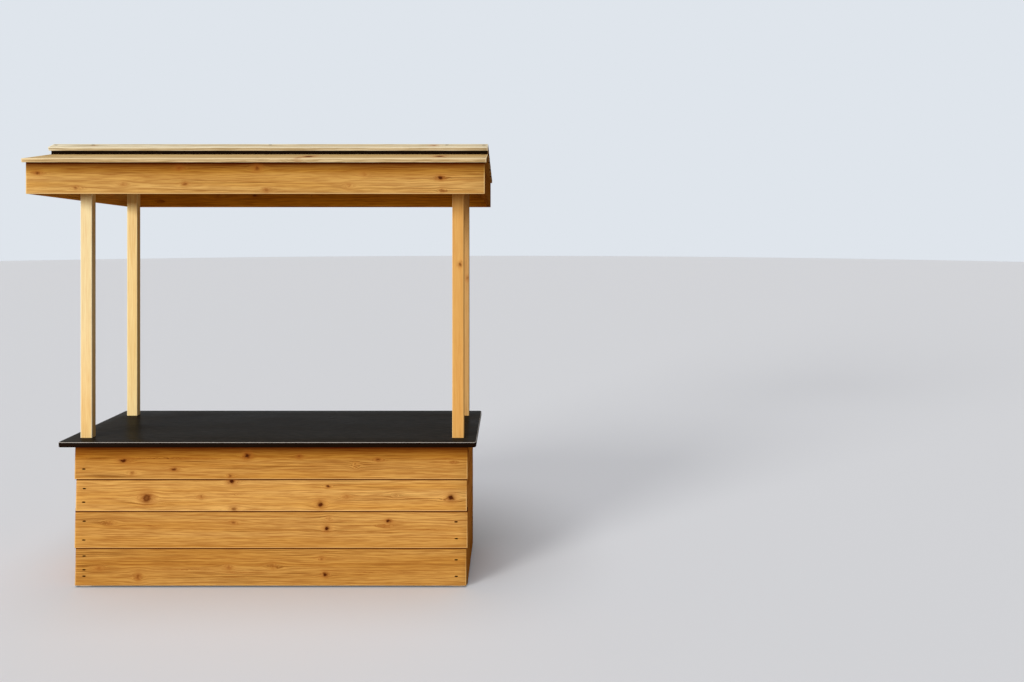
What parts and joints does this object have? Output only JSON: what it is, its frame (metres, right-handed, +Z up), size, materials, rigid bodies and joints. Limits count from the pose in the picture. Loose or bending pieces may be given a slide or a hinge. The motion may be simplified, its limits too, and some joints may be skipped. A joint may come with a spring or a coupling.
{
  "type": "wooden market stall",
  "caption": "Open wooden market stall: a boarded counter with a dark worktop, corner posts and a shallow plank roof with a boxed edge.",
  "frame": {"origin": "on the ground, under the middle of the roof's plan", "axes": "+X along the counter towards the right end seen from the customers' side, +Y from the customers' side to the seller's side, +Z up"},
  "size_m": [2.57, 1.1892, 2.625],
  "materials": {
    "counter_planks": "oiled knotty pine",
    "posts": "planed pale pine",
    "framing": "sawn pine",
    "fascia_boards": "oiled knotty pine",
    "roof_boards": "weathered pale pine",
    "worktop": "near-black satin laminate on board"
  },
  "bodies": {
    "root": {"beam_front": "framing", "beam_rear": "framing", "eave_board_front": "roof_boards", "fascia_front": "fascia_boards", "fascia_rear": "fascia_boards", "front_plank_1": "counter_planks", "front_plank_2": "counter_planks", "front_plank_3": "counter_planks", "front_plank_4": "counter_planks", "gable_board_left": "fascia_boards", "gable_board_right": "fascia_boards", "left_plank_1": "counter_planks", "left_plank_2": "counter_planks", "left_plank_3": "counter_planks", "left_plank_4": "counter_planks", "post_front_left": "posts", "post_front_right": "posts", "post_rear_left": "posts", "post_rear_right": "posts", "rafter_left": "framing", "rafter_middle": "framing", "rafter_right": "framing", "rail_front": "framing", "rail_left": "framing", "rail_rear": "framing", "rail_right": "framing", "rear_plank_1": "counter_planks", "rear_plank_2": "counter_planks", "rear_plank_3": "counter_planks", "rear_plank_4": "counter_planks", "ridge_board": "roof_boards", "right_plank_1": "counter_planks", "right_plank_2": "counter_planks", "right_plank_3": "counter_planks", "right_plank_4": "counter_planks", "roof_board_rear_1": "roof_boards", "roof_board_rear_2": "roof_boards", "roof_board_rear_3": "roof_boards", "roof_board_rear_4": "roof_boards", "roof_board_rear_5": "roof_boards", "worktop": "worktop"}
  },
  "joints": []
}
